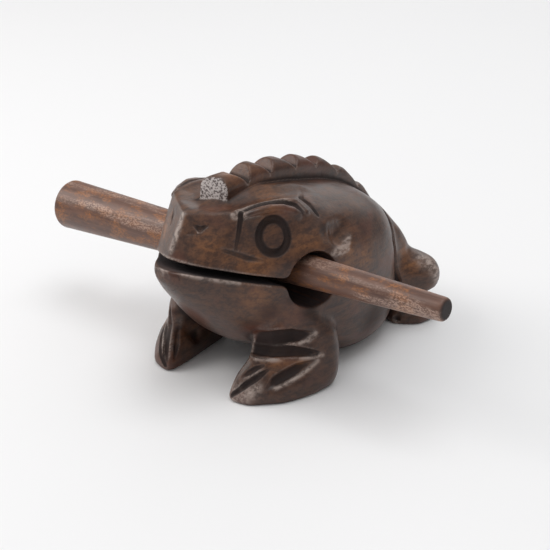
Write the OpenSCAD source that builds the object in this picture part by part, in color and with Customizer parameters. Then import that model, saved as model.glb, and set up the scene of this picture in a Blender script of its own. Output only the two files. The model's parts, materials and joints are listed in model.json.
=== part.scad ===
// Croaking frog guiro. The frog is carved from one block of hardwood and hollowed by a
// cross bore behind the mouth, which the mouth's saw kerf opens into. Its tapered rasping
// stick is kept in the bore and is drawn along the scalloped crest to make the croak.
// Millimetres. The frog faces -Y, its left side is +X, and z = 0 is the ground.

/* [Frog] */
// Length of the frog, from its lower lip to its heels
frog_l = 110; // [100:1:120]
// Width of the frog, across its front elbows
frog_w = 66; // [62:1:70]
// Height of the frog, from the ground to the top of its crest
frog_h = 71; // [68:1:76]

/* [Crest] */
// Depth of the notches between the lobes
notch_depth = 4.4; // [3:0.1:5]
// Width of the crest at its blunt front end
crest_w = 9; // [7:0.5:10]

/* [Voice] */
// Diameter of the cross bore
bore_d = 18.2; // [18:0.1:18.8]
// Height of the mouth's saw kerf
kerf_h = 2.4; // [2:0.1:3.2]

/* [Eyes] */
// Outer diameter of the ring groove round each eye
eye_d = 11.6; // [10:0.2:12]
// Width of the ring groove
eye_groove = 1.7; // [1:0.1:2.2]

/* [Stick] */
// Length of the rasping stick
stick_l = 158; // [130:1:180]
// Diameter of its thick end
stick_thick_d = 17.4; // [15:0.1:17.4]
// Diameter of its thin end
stick_thin_d = 7.4; // [6:0.1:8]

/* [Hidden] */

$fn = 48;
wood_dark = [0.24, 0.15, 0.11];
wood_red = [0.42, 0.24, 0.15];

// Scale factors from the carving's own drawing. The part's origin is on the ground at the
// middle of the flat belly, which is at y = belly_y in the drawing.
draw_l = 110;
draw_w = 66;
draw_h = 71;
belly_y = 20;
kx = frog_w / draw_w;
ky = frog_l / draw_l;
kz = frog_h / draw_h;

// Cross bore: centre of its axis, and a length that clears both flanks
bore_y = (-11 - belly_y) * ky;
bore_z = 37.6 * kz;
bore_l = frog_w + 20;

// Mouth: the middle of the kerf at the lips, and its slope down to the back in degrees
kerf_lip_y = (-46 - belly_y) * ky;
kerf_lip_z = 46.6 * kz;
kerf_slope = 16.5;

// Stick: it lies askew in the bore, its thick end low and forward on the frog's right
stick_x = -4;
stick_z = bore_z + 0.5;
stick_lean = 2.5;
stick_yaw = 3;
stick_round = 1.2;

// Trunk sections, front to back: y, half width, bottom, widest height, top, and how round
// the section is above and below its widest height, from 0.6, boxy, to 1, an ellipse
TRUNK = [
    [-50.4, 1.8, 43.4, 44.8, 46.4, 1.0, 1.0],
    [-49.8, 4.0, 41.4, 44.8, 47.2, 1.0, 1.0],
    [-46.0, 8.2, 36.0, 43.8, 47.7, 0.9, 1.0],
    [-40.0, 12.6, 29.0, 42.4, 47.6, 0.9, 1.0],
    [-34.0, 17.4, 22.4, 40.4, 49.0, 0.9, 0.95],
    [-28.0, 21.0, 16.4, 39.4, 56.0, 0.9, 0.9],
    [-20.0, 25.0, 11.2, 38.0, 63.2, 0.9, 0.88],
    [-10.0, 28.6, 7.2, 35.5, 63.6, 0.88, 0.85],
    [0.0, 30.0, 3.4, 32.0, 61.6, 0.86, 0.78],
    [10.0, 30.0, -0.6, 28.5, 59.0, 0.84, 0.66],
    [20.0, 29.0, -2.0, 27.0, 56.2, 0.82, 0.6],
    [30.0, 27.0, -1.8, 25.0, 52.2, 0.8, 0.62],
    [38.0, 23.0, -0.4, 23.5, 47.4, 0.8, 0.72],
    [46.0, 18.0, 2.0, 22.0, 41.0, 0.84, 0.84],
    [52.0, 12.0, 6.0, 21.0, 34.0, 0.9, 0.9],
    [56.0, 4.0, 14.0, 21.0, 26.5, 1.0, 1.0]
];

// Upper head: corners of the faceted snout and brow, for the left side
HEAD = [
    [0.6, -39.2, 61.2],
    [1.0, -46.2, 50.0],
    [6.8, -44.0, 49.4],
    [9.4, -42.0, 48.4],
    [13.7, -38.0, 46.6],
    [17.1, -33.0, 44.8],
    [20.4, -27.6, 43.2],
    [23.2, -21.0, 41.6],
    [26.2, -12.0, 38.5],
    [14.4, -30.0, 62.0],
    [17.6, -22.6, 62.2],
    [21.0, -14.0, 59.6],
    [21.4, -6.0, 57.0],
    [4.5, -24.0, 63.8],
    [4.5, -12.0, 64.2],
    [14.0, 2.0, 58.0],
    [24.0, 2.0, 40.0]
];

// Crest: y and height of its top line without the notches, and the y of each lobe's ends
CREST_TOP = [
    [-26.8, 69.4],
    [-21.6, 69.2],
    [-11.5, 70.2],
    [-0.5, 68.6],
    [10.0, 66.6],
    [22.0, 62.8],
    [34.5, 55.6],
    [45.0, 46.4],
    [51.0, 39.0]
];
LOBE_ENDS = [-26.8, -16.0, -5.4, 6.8, 17.6, 29.2, 40.6, 51.0];
lobe_peak = 0.38;
first_lobe_peak = 0.1;
crest_drop = 11;
crest_end_w = 5.5;

// Legs of the left side, as balls that a skin is drawn over: x, y, z, radius
FORELEG = [
    [14.8, -33.0, 1.6, 3.0],
    [19.2, -31.4, 2.0, 3.8],
    [16.2, -32.4, 6.2, 2.8],
    [24.6, -23.6, 2.6, 4.8],
    [27.6, -13.6, 3.0, 5.2],
    [27.6, -7.4, 3.2, 5.2],
    [27.4, -7.2, 17.0, 5.4],
    [20.6, -5.6, 1.6, 3.6],
    [18.6, -24.8, 15.0, 4.6],
    [20.4, -14.0, 25.0, 6.4]
];
HIND_FOOT = [
    [19.6, 43.4, 1.4, 2.6],
    [24.4, 48.0, 1.8, 3.2],
    [24.2, 54.2, 3.6, 4.6],
    [14.0, 48.0, 4.0, 6.0]
];
HEEL = [
    [22.6, 51.0, 17.0, 7.4],
    [15.0, 41.0, 20.0, 9.0],
    [11.0, 36.5, 36.0, 6.0]
];

// Eye: its centre, and the turn and tilt of the cheek that it is cut into
EYE = [19.0, -20.8, 53.2];
eye_turn = -28;
eye_tilt = 66;
eye_cut = 1.5;

// How far a cutting shape runs past the wood, and the room that the whole frog stands in
past = 10;
room = 200;

// Fineness of the skins
ring_points = 40;
trunk_steps = 3;
lobe_steps = 8;
arc_step = 18;
ball_fn = 28;

// Smooth curve through a list's rows: the row at i, i + 1 and any t between them
function row(list, i) = list[max(0, min(len(list) - 1, i))];
function between(a, b, c, d, t) =
    0.5 * ((2 * b) + (c - a) * t + (2 * a - 5 * b + 4 * c - d) * t * t
        + (3 * b - a - 3 * c + d) * t * t * t);
function along(list, i, t) =
    between(row(list, i - 1), row(list, i), row(list, i + 1), row(list, i + 2), t);
function fine(list, steps) = concat(
    [for (i = [0 : len(list) - 2], s = [0 : steps - 1]) along(list, i, s / steps)],
    [list[len(list) - 1]]
);

// Height of a list's curve at y, by straight runs between its rows
function height_at(list, y) =
    let (found = [for (i = [0 : len(list) - 2]) if (y <= list[i + 1][0]) i])
    let (i = len(found) > 0 ? found[0] : len(list) - 2)
    let (t = (y - list[i][0]) / (list[i + 1][0] - list[i][0]))
    list[i][1] + (list[i + 1][1] - list[i][1]) * t;

// Sizes of the drawing brought to the frog's own size
function sized(p) = [p[0] * kx, (p[1] - belly_y) * ky, p[2] * kz];
function mirrored(p) = [-p[0], p[1], p[2]];

// One trunk section
function trunk_ring(s) = [
    for (k = [0 : ring_points - 1])
        let (a = 360 * k / ring_points)
        let (up = sin(a) >= 0)
        let (bulge = up ? s[5] : s[6])
        let (x = sign(cos(a)) * pow(abs(cos(a)), bulge) * s[1])
        let (z = pow(abs(sin(a)), bulge) * (up ? s[4] - s[3] : s[2] - s[3]))
        sized([x, s[0], s[3] + z])
];

// Skin over a row of closed rings that all have the same number of points
module skin(rings) {
    n = len(rings[0]);
    last = len(rings) - 1;
    points = [for (ring = rings) each ring];
    sides = [
        for (i = [0 : last - 1], k = [0 : n - 1], half = [0, 1])
            let (a = i * n + k)
            let (b = i * n + (k + 1) % n)
            half == 0 ? [a, b, b + n] : [a, b + n, a + n]
    ];
    front = [[for (k = [n - 1 : -1 : 0]) k]];
    back = [[for (k = [0 : n - 1]) last * n + k]];
    polyhedron(points, concat(front, sides, back));
}

module trunk() {
    skin([for (s = fine(TRUNK, trunk_steps)) trunk_ring(s)]);
}

// Balls of one limb, wrapped in one skin
module limb(balls) {
    hull()
        for (b = balls)
            translate(sized(b)) sphere(b[3], $fn = ball_fn);
}

// Faceted snout, cheeks and brow
module upper_head() {
    points = concat([for (p = HEAD) sized(p)], [for (p = HEAD) sized(mirrored(p))]);
    hull()
        for (p = points)
            translate(p) cube(0.6, center = true);
}

// How far the crest's top dips below its line at a share u along one lobe, whose front half
// ends at the share peak. The first lobe's front is sawn off at nearly its full height.
function dip(u, peak) =
    let (from_peak = u < peak ? 1 - u / peak : (u - peak) / (1 - peak))
    notch_depth * (1 - sqrt(max(0, 1 - from_peak * from_peak)));

// One crest section: upright sides under a round top
function crest_ring(y, top, half) =
    let (arc = [for (a = [0 : arc_step : 180]) [half * cos(a), y, top - half + half * sin(a)]])
    concat([[half, y, top - crest_drop]], arc, [[-half, y, top - crest_drop]]);

module crest() {
    lobes = len(LOBE_ENDS) - 1;
    skin([
        for (i = [0 : lobes * lobe_steps])
            let (lobe = min(floor(i / lobe_steps), lobes - 1))
            let (u = i / lobe_steps - lobe)
            let (y = LOBE_ENDS[lobe] + (LOBE_ENDS[lobe + 1] - LOBE_ENDS[lobe]) * u)
            let (top = height_at(CREST_TOP, y)
                - (lobe > 0 ? dip(u, lobe_peak) : u < first_lobe_peak ? 0 : dip(u, first_lobe_peak)))
            let (half = (crest_w + (crest_end_w - crest_w) * i / (lobes * lobe_steps)) / 2)
            [for (p = crest_ring(y, top, half)) sized(p)]
    ]);
}

// The outside of the carving, as one surface
module carving() {
    resize([0, 0, 0]) union() {
        trunk();
        upper_head();
        crest();
        for (side = [0, 1])
            mirror([side, 0, 0]) {
                limb(FORELEG);
                limb(HIND_FOOT);
                limb(HEEL);
            }
    }
}

// Ring groove round an eye, lying in the cheek
module eye_ring() {
    translate(sized(EYE)) rotate([0, 0, eye_turn]) rotate([0, eye_tilt, 0])
        rotate_extrude()
            translate([eye_d / 2 - eye_groove, -eye_cut]) square([eye_groove, past]);
}

// Saw kerf of the mouth, from the lips back into the bore
module mouth_kerf() {
    kerf_l = bore_y - kerf_lip_y;
    translate([0, kerf_lip_y, kerf_lip_z]) rotate([-kerf_slope, 0, 0])
        translate([-frog_w / 2, -past, -kerf_h / 2]) cube([frog_w, kerf_l + past, kerf_h]);
}

module frog_body() {
    color(wood_dark)
        difference() {
            carving();
            translate([-bore_l / 2, bore_y, bore_z]) rotate([0, 90, 0])
                cylinder(h = bore_l, d = bore_d);
            mouth_kerf();
            for (side = [0, 1])
                mirror([side, 0, 0]) eye_ring();
            // Flat soles and belly
            translate([-room / 2, -room / 2, -past]) cube([room, room, past]);
        }
}

// Tapered stick with softly rounded ends, its thick end on the frog's right
module rasp_stick() {
    r0 = stick_thick_d / 2;
    r1 = stick_thin_d / 2;
    color(wood_red)
        translate([0, bore_y, stick_z]) rotate([0, -stick_lean, stick_yaw])
            rotate([0, 90, 0]) translate([0, 0, stick_x - stick_l / 2])
                rotate_extrude()
                    polygon([
                        [0, 0],
                        [r0 - stick_round, 0],
                        [r0 - stick_round * 0.3, stick_round * 0.3],
                        [r0, stick_round],
                        [r1, stick_l - stick_round],
                        [r1 - stick_round * 0.3, stick_l - stick_round * 0.3],
                        [r1 - stick_round, stick_l],
                        [0, stick_l]
                    ]);
}

frog_body();
rasp_stick();
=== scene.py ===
import json
from math import cos, radians, sin

import bpy
import numpy as np
from mathutils import Matrix, Vector


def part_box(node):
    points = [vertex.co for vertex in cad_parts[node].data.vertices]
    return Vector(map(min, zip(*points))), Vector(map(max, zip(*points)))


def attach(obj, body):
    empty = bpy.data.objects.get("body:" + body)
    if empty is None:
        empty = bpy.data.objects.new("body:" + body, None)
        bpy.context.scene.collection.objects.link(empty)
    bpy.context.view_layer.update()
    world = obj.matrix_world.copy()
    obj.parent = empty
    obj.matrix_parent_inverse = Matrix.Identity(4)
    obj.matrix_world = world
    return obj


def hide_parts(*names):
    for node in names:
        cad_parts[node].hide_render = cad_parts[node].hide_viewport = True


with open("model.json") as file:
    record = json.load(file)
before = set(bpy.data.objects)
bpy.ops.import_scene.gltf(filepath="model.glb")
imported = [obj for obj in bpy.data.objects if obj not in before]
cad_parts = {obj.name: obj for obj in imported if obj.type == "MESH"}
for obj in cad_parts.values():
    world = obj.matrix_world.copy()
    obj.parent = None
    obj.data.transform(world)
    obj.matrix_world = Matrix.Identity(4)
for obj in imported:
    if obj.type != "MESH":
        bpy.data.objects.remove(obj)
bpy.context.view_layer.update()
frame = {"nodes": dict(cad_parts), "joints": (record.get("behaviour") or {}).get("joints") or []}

# --- Carving ---
# The frog is worked out as a field of distances to its surface, in millimetres of the carving's
# own drawing: the frog faces -Y, its left side is +X, and z = 0 is the ground.

# The drawing's box round the whole frog, which is fitted to the CAD body's box
DRAWN_LOW = (-32.77, -50.4, 0.0)
DRAWN_HIGH = (32.77, 58.77, 70.15)

# Trunk sections, front to back: y, half width, bottom, widest height, top, and how round
# the section is above and below its widest height, from 0.6, boxy, to 1, an ellipse
TRUNK = [
    [-50.4, 1.8, 43.4, 44.8, 46.4, 1.0, 1.0],
    [-49.8, 4.0, 41.4, 44.8, 47.2, 1.0, 1.0],
    [-46.0, 7.8, 36.0, 43.8, 47.7, 0.9, 1.0],
    [-40.0, 12.3, 29.0, 42.4, 47.6, 0.9, 1.0],
    [-34.0, 17.4, 22.4, 40.4, 49.0, 0.9, 0.95],
    [-28.0, 21.0, 16.4, 39.4, 56.0, 0.9, 0.9],
    [-20.0, 25.0, 11.2, 38.0, 62.2, 0.9, 0.88],
    [-10.0, 28.6, 7.2, 35.5, 63.0, 0.88, 0.85],
    [0.0, 30.0, 3.4, 32.0, 61.6, 0.86, 0.78],
    [10.0, 30.0, -0.6, 28.5, 59.0, 0.84, 0.66],
    [20.0, 29.0, -2.0, 27.0, 56.2, 0.82, 0.6],
    [30.0, 27.0, -1.8, 25.0, 52.2, 0.8, 0.62],
    [38.0, 23.0, -0.4, 23.5, 47.4, 0.8, 0.72],
    [46.0, 18.0, 2.0, 22.0, 41.0, 0.84, 0.84],
    [52.0, 12.0, 6.0, 21.0, 34.0, 0.9, 0.9],
    [56.0, 4.0, 14.0, 21.0, 26.5, 1.0, 1.0],
]

# How far the lower jaw's front is carved towards the left, where that starts and how soon it
# is whole
JAW_SKEW = 1.1
JAW_SKEW_Y = -36
JAW_SKEW_RUN = 12

# Upper head: corners of the faceted snout, cheek and brow, for the left side
HEAD = [
    (0.4, -39.2, 61.4),
    (0.6, -46.8, 47.8),
    (6.8, -44.6, 47.3),
    (9.6, -42.8, 46.6),
    (13.9, -38.2, 45.3),
    (17.2, -33.2, 43.7),
    (20.6, -27.8, 42.2),
    (23.4, -21.0, 40.7),
    (26.4, -12.0, 38.5),
    (14.5, -30.2, 62.3),
    (17.6, -22.6, 62.6),
    (21.0, -14.0, 60.0),
    (21.4, -6.0, 57.0),
    (4.5, -24.0, 63.6),
    (4.5, -12.0, 64.2),
    (14.0, 2.0, 58.0),
    (24.0, 2.0, 40.0),
]

# Crest: y and height of its top line without the notches, and the y of each lobe's ends
CREST_TOP = [
    (-26.8, 69.4),
    (-21.6, 69.2),
    (-11.5, 69.9),
    (-0.5, 68.6),
    (10.0, 66.6),
    (22.0, 62.8),
    (34.5, 55.6),
    (45.0, 46.4),
    (51.0, 39.0),
]
LOBE_ENDS = [-26.8, -16.0, -5.4, 6.8, 17.6, 29.2, 40.6, 51.0]
# Where along a lobe its peak is, how much of each side of it is level, and how steeply its
# back falls
LOBE_PEAK = 0.33
FIRST_LOBE_PEAK = 0.12
LOBE_LEVEL = 0.12
LOBE_FALL = 1.9
# Depth of the crest's notch at each of the lobes' ends
NOTCH_DEPTHS = [0.5, 4.6, 3.7, 3.4, 2.9, 2.6, 2.5, 2.6]
# Its sawn front: the way that it faces, and a point on it
CREST_FACE = np.array((0.3, -0.95, 0.08), np.float32)
CREST_FACE_AT = np.array((0, -26.8, 64), np.float32)
# How softly its edges are rounded
CREST_SOFT = 0.5
# Half of its width, at a few y
CREST_HALF = [(-26.8, 4.6), (6.8, 4.3), (20.0, 3.5), (51.0, 2.6)]

# Legs of the left side, as balls that a skin is drawn over: x, y, z, radius
HAND = [
    (15.4, -33.6, 1.6, 2.6),
    (19.2, -31.4, 2.0, 3.8),
    (16.4, -32.2, 6.0, 2.6),
    (24.6, -23.6, 2.6, 4.8),
    (27.5, -13.6, 3.0, 5.0),
    (27.5, -7.4, 3.2, 5.0),
    (20.6, -5.6, 1.6, 3.6),
    (27.2, -7.2, 12.0, 5.3),
    (18.4, -26.0, 12.0, 3.4),
]
ARM = [
    (27.5, -7.4, 6.0, 5.0),
    (27.2, -7.2, 17.0, 5.3),
    (18.6, -24.8, 16.4, 3.8),
    (20.4, -14.0, 25.0, 6.4),
    (20.0, -18.0, 12.0, 5.0),
]
HIND_FOOT = [
    (19.6, 43.4, 1.4, 2.6),
    (24.4, 48.0, 1.8, 3.2),
    (24.2, 54.2, 3.6, 4.6),
    (14.0, 48.0, 4.0, 6.0),
]
HEEL = [
    (22.6, 51.0, 17.0, 7.4),
    (15.0, 41.0, 20.0, 9.0),
]
HAUNCH = [
    (10.0, 36.5, 37.0, 6.0),
    (15.0, 40.5, 31.0, 6.6),
    (15.6, 46.5, 22.0, 6.0),
    (18.0, 40.0, 16.0, 6.0),
]

# Each limb, and how softly it runs into the trunk
LIMBS = [(HAND, 1.0), (ARM, 3.0), (HAUNCH, 2.0), (HIND_FOOT, 2.0), (HEEL, 2.0)]

# Eye: its centre, the turn and tilt of its axis, and its ring groove's radius and depth
EYE = (20.0, -21.6, 53.6)
EYE_TURN = radians(-22)
EYE_TILT = radians(19)
EYE_R = 4.75
EYE_GROOVE = 1.0
# How much taller than wide the ring is
EYE_TALL = 1.09

# Ridges and gouges of the left side: points along each, with its radius there and, last, how
# far its middle line stands off the wood
EYELID = [
    (15.2, -29.0, 61.4, 0.8),
    (16.8, -25.0, 61.9, 1.1),
    (18.0, -20.5, 61.8, 1.2),
    (18.9, -16.0, 60.8, 1.2),
    (19.8, -12.6, 59.2, 1.1),
    (20.6, -11.4, 57.2, 0.8),
]
# How much lower the right brow is carved
RIGHT_BROW_DROP = 1.4
BROW = [
    (12.6, -29.0, 62.0, 0.8),
    (13.6, -22.0, 62.8, 1.2),
    (13.8, -16.0, 62.2, 1.3),
    (14.8, -11.0, 61.0, 1.3),
    (16.8, -8.2, 59.6, 1.2),
    (20.4, -7.4, 57.4, 0.8),
]
GOUGES = {
    "brow": (
        0.2,
        (14.6, -28.0, 62.2, 0.3),
        (15.4, -22.0, 62.8, 0.6),
        (15.9, -17.0, 62.2, 0.75),
        (16.8, -12.4, 61.0, 0.75),
        (18.4, -9.8, 59.4, 0.6),
        (20.4, -9.4, 57.4, 0.3),
    ),
    "trough": (
        4.7,
        (11.5, 0.0, 60.0, 5.0),
        (10.6, -10.0, 62.5, 6.0),
        (9.8, -18.0, 62.8, 6.4),
        (8.0, -25.5, 62.6, 6.4),
        (4.5, -29.6, 62.2, 6.3),
        (0.0, -30.6, 62.0, 6.2),
    ),
    "slit": (
        0.0,
        (14.2, -29.6, 61.8, 0.6),
        (14.9, -31.3, 56.7, 0.6),
        (15.3, -33.2, 51.5, 0.3),
    ),
    "cheek": (
        0.0,
        (13.0, -36.8, 51.9, 0.1),
        (15.0, -34.2, 50.6, 0.4),
        (17.6, -30.6, 48.6, 0.5),
        (20.2, -26.8, 47.2, 0.1),
    ),
    "shoulder": (
        0.0,
        (11.8, 1.0, 59.9, 0.3),
        (15.6, -3.6, 59.4, 0.8),
        (18.5, -2.8, 57.8, 1.0),
        (21.5, -2.4, 55.1, 0.5),
    ),
    "inner_toe": (
        0.0,
        (17.7, -33.2, 8.7, 0.2),
        (18.9, -31.7, 10.1, 0.8),
        (20.3, -30.1, 11.4, 0.75),
        (21.8, -28.2, 12.2, 0.2),
    ),
    "middle_toe": (
        0.0,
        (14.7, -35.9, 1.8, 0.5),
        (17.8, -35.1, 4.9, 0.8),
        (19.9, -32.9, 7.4, 1.0),
        (21.8, -30.4, 9.4, 0.95),
        (23.2, -27.5, 11.1, 0.3),
    ),
    "outer_toe": (
        0.3,
        (24.4, -30.3, 5.4, 0.4),
        (26.0, -27.0, 7.7, 1.75),
        (27.3, -24.0, 9.0, 1.9),
        (28.8, -20.1, 10.3, 1.75),
        (30.9, -15.4, 11.4, 0.8),
        (32.0, -13.0, 11.8, 0.3),
    ),
    "ear": (
        3.1,
        (25.6, -2.4, 49.6, 3.8),
        (26.5, 2.5, 48.6, 5.8),
        (25.6, 5.4, 49.0, 4.8),
    ),
    "flank": (
        0.2,
        (8.0, 41.0, 43.0, 0.4),
        (17.6, 37.6, 40.0, 1.5),
        (23.7, 34.2, 35.2, 2.1),
        (24.9, 34.2, 28.3, 2.3),
        (24.3, 35.9, 20.1, 2.3),
        (23.7, 38.0, 12.0, 2.0),
        (22.0, 39.6, 3.0, 1.2),
    ),
    "ankle": (
        0.0,
        (28.4, 49.0, 11.0, 0.6),
        (28.0, 51.0, 11.6, 1.4),
        (25.0, 56.0, 12.4, 1.4),
        (18.0, 57.0, 12.0, 1.0),
    ),
}
# How softly the gouges' edges are rounded, and how far off their balls they are felt
GOUGE_SOFT = 0.6
SOFT_GOUGES = {"trough": 2.0, "ear": 2.0, "cheek": 1.0, "brow": 0.8}
LEFT_SOFT = 0.3
RIGHT_SOFT = 0.4
STEP_SOFT = 0.4
EYE_SOFT = 0.7
GOUGE_REACH = 1.5
# How softly the head, the crest and the ridges over the eye run into the rest
HEAD_JOIN = 1.5
CREST_JOIN = 0.5
EYELID_JOIN = 1.2
BROW_JOIN = 1.6
# Gouges of one side only
LEFT_GOUGES = {
    "nostril": (
        0.1,
        (4.0, -39.4, 58.2, 0.4),
        (5.8, -38.8, 57.3, 0.95),
        (7.4, -37.1, 58.4, 0.35),
    ),
    "scratch": (
        0.1,
        (2.7, -41.6, 55.8, 0.25),
        (5.6, -39.9, 56.1, 0.25),
    ),
}
RIGHT_GOUGES = {
    "nostril": (
        0.1,
        (8.5, -36.0, 59.2, 0.3),
        (7.4, -37.8, 57.6, 0.6),
        (6.2, -39.6, 55.8, 0.3),
    ),
    "long_toe": (
        0.3,
        (20.5, -27.0, 19.0, 0.3),
        (19.2, -29.6, 13.5, 1.3),
        (17.0, -33.0, 8.8, 1.4),
        (14.6, -35.6, 3.0, 0.6),
    ),
    "inside_toe": (
        0.2,
        (15.8, -28.0, 13.0, 0.3),
        (14.4, -30.8, 8.8, 1.0),
        (13.0, -33.0, 4.2, 0.5),
    ),
    "palm": (
        2.2,
        (14.6, -26.0, 10.6, 2.6),
        (14.0, -22.0, 8.0, 3.4),
    ),
}
# Stepped cuts over the wrist: the ledge's height at y = 0, its rise along y, and the gouge
WRIST_CUTS = [
    (
        (19.9, 0.09),
        (
            0.5,
            (18.4, -26.8, 19.6, 2.8),
            (22.0, -24.8, 20.0, 3.2),
            (26.0, -19.6, 20.2, 2.9),
            (30.6, -12.0, 20.6, 0.4),
        ),
    ),
    (
        (12.2, -0.08),
        (
            0.3,
            (16.6, -28.6, 16.2, 2.3),
            (23.0, -25.2, 16.2, 2.5),
            (27.0, -20.0, 15.6, 2.2),
            (32.1, -11.8, 13.8, 0.4),
        ),
    ),
]

# Cross bore: its axis and radius
BORE_Y = -11.0
BORE_Z = 37.6
BORE_R = 9.1
# Mouth's saw kerf: its middle at the lips, its slope down to the back and half of its height
KERF_Y = -46.0
KERF_Z = 46.6
KERF_SLOPE = radians(16.5)
KERF_HALF = 1.2
# How softly the kerf's corners in the bore, the mouth's rims and the soles' edges are rounded
CORNER_SOFT = 2.2
RIM_SOFT = 0.5
SOLE_SOFT = 0.6


def ramp(values, start, end):
    """Shares that rise from 0 at the start value to 1 at the end value."""
    return np.clip((values - start) / (end - start), 0, 1)


def smooth_max(a, b, k):
    """The greater of two distances, blended where they differ by less than k."""
    h = np.maximum(k - np.abs(a - b), 0) / k
    return np.maximum(a, b) + h * h * k / 4


def smooth_min(a, b, k):
    return -smooth_max(-a, -b, k)


def refined(rows, steps=10):
    """A smooth curve through the rows, as closely spaced rows."""
    rows = np.array(rows, float)
    ends = np.vstack([2 * rows[0] - rows[1], rows, 2 * rows[-1] - rows[-2]])
    t = np.linspace(0, 1, steps, endpoint=False)[:, None]
    parts = []
    for a, b, c, d in zip(ends, ends[1:], ends[2:], ends[3:]):
        bend = 2 * a - 5 * b + 4 * c - d
        parts.append(0.5 * (2 * b + (c - a) * t + bend * t * t + (3 * b - a - 3 * c + d) * t**3))
    return np.vstack(parts + [rows[-1:]])


def evened(field, p, gap=0.2):
    """A field's value divided by its slope, which makes it nearly a true distance."""
    d = field(p)
    slope = sum((field(p + gap * axis) - d) ** 2 for axis in np.eye(3, dtype=p.dtype))
    return d / np.maximum(np.sqrt(slope) / gap, 0.6)


TRUNK_FINE = refined(TRUNK)


def trunk_raw(p):
    """Roughly the distance to the trunk: 0 on it, and more the farther out."""
    y = p[:, 1]
    half, low, wide, top, up_bulge, low_bulge = (
        np.interp(y, TRUNK_FINE[:, 0], TRUNK_FINE[:, i]) for i in range(1, 7)
    )
    x = np.abs(p[:, 0] - JAW_SKEW * ramp(JAW_SKEW_Y - y, 0, JAW_SKEW_RUN))
    z = p[:, 2] - wide
    above = z >= 0
    rise = np.where(above, top - wide, wide - low)
    power = 2 / np.where(above, up_bulge, low_bulge)
    size = ((x / half) ** power + (np.abs(z) / rise) ** power) ** (1 / power) + 1e-6
    reach = np.sqrt(x * x + z * z) + 1e-6
    d = reach * (1 - 1 / size)
    return np.maximum(d, np.maximum(TRUNK[0][0] - y, y - TRUNK[-1][0]))


def trunk(p):
    return evened(trunk_raw, p)


def hull_planes(corners):
    """Outward planes of the convex hull of a few corners: each is a normal and its distance."""
    c = np.array(corners, float)
    i, j, k = (np.array(t) for t in zip(*(
        (i, j, k) for i in range(len(c)) for j in range(i) for k in range(j)
    )))
    n = np.cross(c[j] - c[i], c[k] - c[i])
    size = np.linalg.norm(n, axis=1)
    keep = size > 1e-6
    n, i = n[keep] / size[keep, None], i[keep]
    n, i = np.vstack([n, -n]), np.concatenate([i, i])
    level = (n * c[i]).sum(1)
    hull = (n @ c.T <= level[:, None] + 1e-6).all(1)
    planes = np.unique(np.round(np.column_stack([n, level])[hull], 3), axis=0)
    return planes.astype(np.float32)


HEAD_SOFT = 0.25
HEAD_PLANES = hull_planes(HEAD + [(-x, y, z) for x, y, z in HEAD])


def soft_polytope(p, planes, soft):
    """Distance to the planes' common inside, with its edges rounded by about 2 * soft."""
    d = p @ planes[:, :3].T - planes[:, 3]
    top = d.max(1)
    return top + soft * np.log(np.exp((d - top[:, None]) / soft).sum(1))


def head(p):
    return soft_polytope(p, HEAD_PLANES, HEAD_SOFT)


GOLDEN_ANGLE = 2.399963


def even_directions(count):
    """Directions spread evenly over a sphere."""
    k = np.arange(count) + 0.5
    z = 1 - 2 * k / count
    turn = k * GOLDEN_ANGLE
    flat = np.sqrt(1 - z * z)
    return np.column_stack([flat * np.cos(turn), flat * np.sin(turn), z]).astype(np.float32)


ALL_WAYS = even_directions(260)
SKIN_SOFT = 0.12


def ball_skin(p, balls):
    """Distance to a skin stretched over balls."""
    balls = np.array(balls, np.float32)
    level = (ALL_WAYS @ balls[:, :3].T + balls[:, 3]).max(1)
    return soft_polytope(p, np.column_stack([ALL_WAYS, level]), SKIN_SOFT)


def lobe_top(y):
    """Height of the crest's top line, notches included."""
    ends = np.array(LOBE_ENDS)
    lobe = np.clip(np.searchsorted(ends, y) - 1, 0, len(ends) - 2)
    u = ramp(y, ends[lobe], ends[lobe + 1])
    peak = np.where(lobe == 0, FIRST_LOBE_PEAK, LOBE_PEAK)
    front = u < peak
    from_peak = np.where(front, 1 - u / peak, (u - peak) / (1 - peak))
    fall = np.maximum(from_peak - LOBE_LEVEL, 0) / (1 - LOBE_LEVEL)
    dip = np.where(front, fall, fall**LOBE_FALL)
    return crest_line(y) - dip * np.interp(y, ends, NOTCH_DEPTHS)


def crest_line(y):
    """Height of the crest's top line before the notches were cut."""
    top = np.array(CREST_TOP)
    return np.interp(y, top[:, 0], top[:, 1])


def crest_bar(p):
    """The crest before its notches: upright sides under a round top."""
    x, y, z = np.abs(p[:, 0]), p[:, 1], p[:, 2]
    widths = np.array(CREST_HALF)
    half = np.interp(y, widths[:, 0], widths[:, 1])
    z = z - (crest_line(y) - half)
    d = np.where(z > 0, np.sqrt(x * x + z * z), x) - half
    return np.maximum(d, y - LOBE_ENDS[-1])


def notches(p):
    """Distance above the notched top line, which is cut straight across."""
    return p[:, 2] - lobe_top(p[:, 1])


def crest_face(p):
    """Distance in front of the crest's sawn front, which is cut a little askew."""
    return (p - CREST_FACE_AT) @ CREST_FACE


def crest(p):
    """Distance to the whole crest."""
    d = smooth_max(evened(crest_bar, p, 0.1), evened(notches, p, 0.1), CREST_SOFT)
    return smooth_max(d, crest_face(p), CREST_SOFT)


def chain(p, balls):
    """Distance to a row of balls joined by cones."""
    balls = np.array(balls, np.float32)
    d = np.full(len(p), np.inf, np.float32)
    for a, b in zip(balls, balls[1:]):
        way = b[:3] - a[:3]
        t = np.clip((p - a[:3]) @ way / (way @ way), 0, 1)
        gap = np.linalg.norm(p - a[:3] - t[:, None] * way, axis=1)
        d = np.minimum(d, gap - a[3] - t * (b[3] - a[3]))
    return d


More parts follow.
